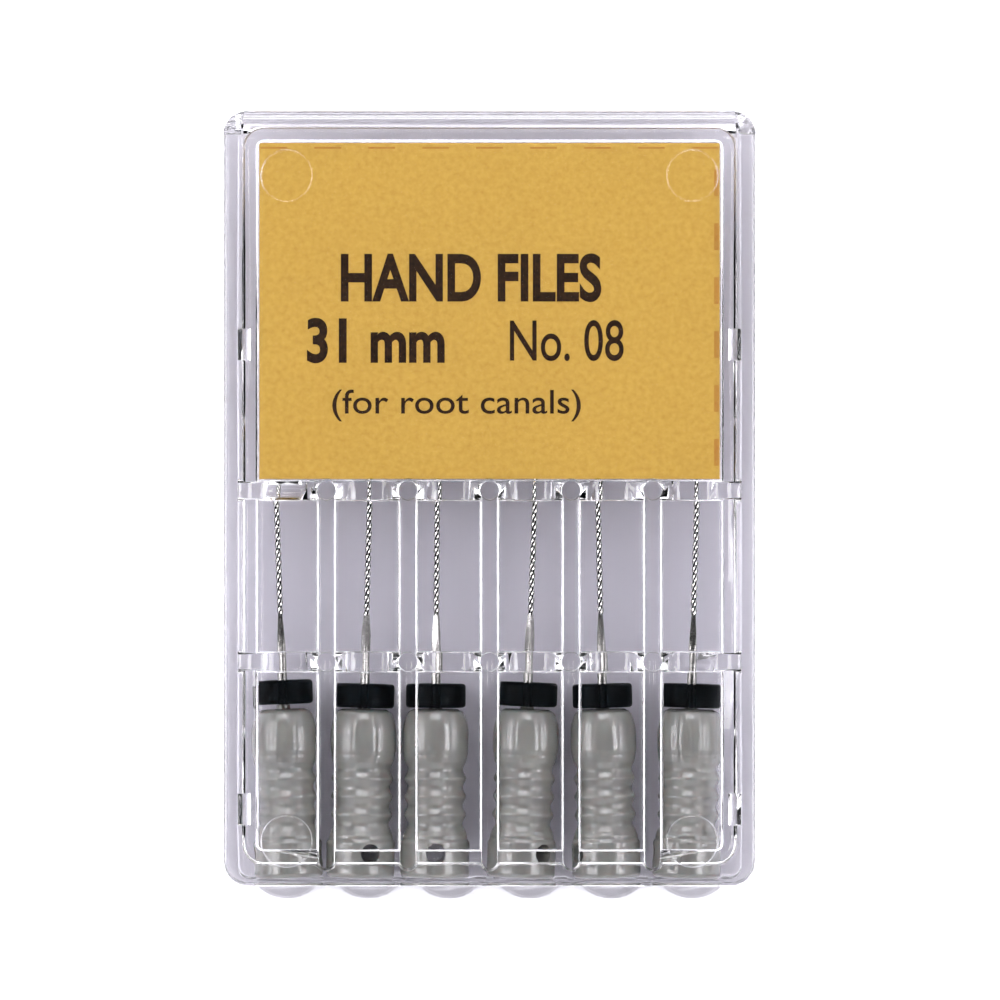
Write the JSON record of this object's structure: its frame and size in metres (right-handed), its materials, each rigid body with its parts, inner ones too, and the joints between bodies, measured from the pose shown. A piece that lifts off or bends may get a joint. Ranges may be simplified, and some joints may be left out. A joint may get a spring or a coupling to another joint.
{
  "type": "endodontic file pack",
  "caption": "Clear hinged case with a printed card insert, holding fine hand-operated root canal files, each with a ringed grey handle and a sliding black stopper.",
  "frame": {"origin": "middle of the case's bounding box in plan, on the surface that its back lies on", "axes": "+X across the channels, +Y towards the hinge end, +Z out of the cover"},
  "size_m": [0.0356, 0.0528, 0.008],
  "materials": {
    "clear_styrene": "clear moulded polystyrene, polished",
    "card": "golden uncoated card",
    "ink": "dark brown printing ink",
    "handle_grey": "moulded plastic, satin",
    "blade_steel": "drawn and twisted stainless wire",
    "stopper_silicone": "black silicone"
  },
  "bodies": {
    "tray": {"tray": "clear_styrene"},
    "cover": {"cover": "clear_styrene", "card": "card"},
    "file_1": {"handle_1": "handle_grey", "blade_1": "blade_steel"},
    "stopper_1": {"stopper_1": "stopper_silicone"},
    "file_2": {"handle_2": "handle_grey", "blade_2": "blade_steel"},
    "stopper_2": {"stopper_2": "stopper_silicone"},
    "file_3": {"handle_3": "handle_grey", "blade_3": "blade_steel"},
    "stopper_3": {"stopper_3": "stopper_silicone"},
    "file_4": {"handle_4": "handle_grey", "blade_4": "blade_steel"},
    "stopper_4": {"stopper_4": "stopper_silicone"},
    "file_5": {"handle_5": "handle_grey", "blade_5": "blade_steel"},
    "stopper_5": {"stopper_5": "stopper_silicone"},
    "file_6": {"handle_6": "handle_grey", "blade_6": "blade_steel"},
    "stopper_6": {"stopper_6": "stopper_silicone"}
  },
  "joints": [
    {"name": "cover_hinge", "type": "hinge", "parent": "tray", "child": "cover", "pos_m": [0, 0.02562, 0.0072], "axis": [-1, 0, 0], "range_deg": [0, 170]},
    {"name": "file_1_roll", "type": "hinge", "parent": "tray", "child": "file_1", "pos_m": [-0.01345, -0.0249, 0.0034], "axis": [-0.0332, 0.9995, 0], "continuous": true},
    {"name": "stopper_1_slide", "type": "slide", "parent": "file_1", "child": "stopper_1", "axis": [-0.0332, 0.9995, 0], "range_m": [0, 0.0115]},
    {"name": "file_2_roll", "type": "hinge", "parent": "tray", "child": "file_2", "pos_m": [-0.0087, -0.0249, 0.0034], "axis": [0.0258, 0.9997, 0], "continuous": true},
    {"name": "stopper_2_slide", "type": "slide", "parent": "file_2", "child": "stopper_2", "axis": [0.0258, 0.9997, 0], "range_m": [0, 0.0115]},
    {"name": "file_3_roll", "type": "hinge", "parent": "tray", "child": "file_3", "pos_m": [-0.00367, -0.0249, 0.0034], "axis": [0.0061, 1, 0], "continuous": true},
    {"name": "stopper_3_slide", "type": "slide", "parent": "file_3", "child": "stopper_3", "axis": [0.0061, 1, 0], "range_m": [0, 0.0115]},
    {"name": "file_4_roll", "type": "hinge", "parent": "tray", "child": "file_4", "pos_m": [0.00207, -0.0249, 0.0034], "axis": [0.0384, 0.9993, 0], "continuous": true},
    {"name": "stopper_4_slide", "type": "slide", "parent": "file_4", "child": "stopper_4", "axis": [0.0384, 0.9993, 0], "range_m": [0, 0.0115]},
    {"name": "file_5_roll", "type": "hinge", "parent": "tray", "child": "file_5", "pos_m": [0.00785, -0.0249, 0.0034], "axis": [-0.0232, 0.9997, 0], "continuous": true},
    {"name": "stopper_5_slide", "type": "slide", "parent": "file_5", "child": "stopper_5", "axis": [-0.0232, 0.9997, 0], "range_m": [0, 0.0115]},
    {"name": "file_6_roll", "type": "hinge", "parent": "tray", "child": "file_6", "pos_m": [0.01318, -0.0249, 0.0034], "axis": [0.0286, 0.9996, 0], "continuous": true},
    {"name": "stopper_6_slide", "type": "slide", "parent": "file_6", "child": "stopper_6", "axis": [0.0286, 0.9996, 0], "range_m": [0, 0.0115]}
  ]
}
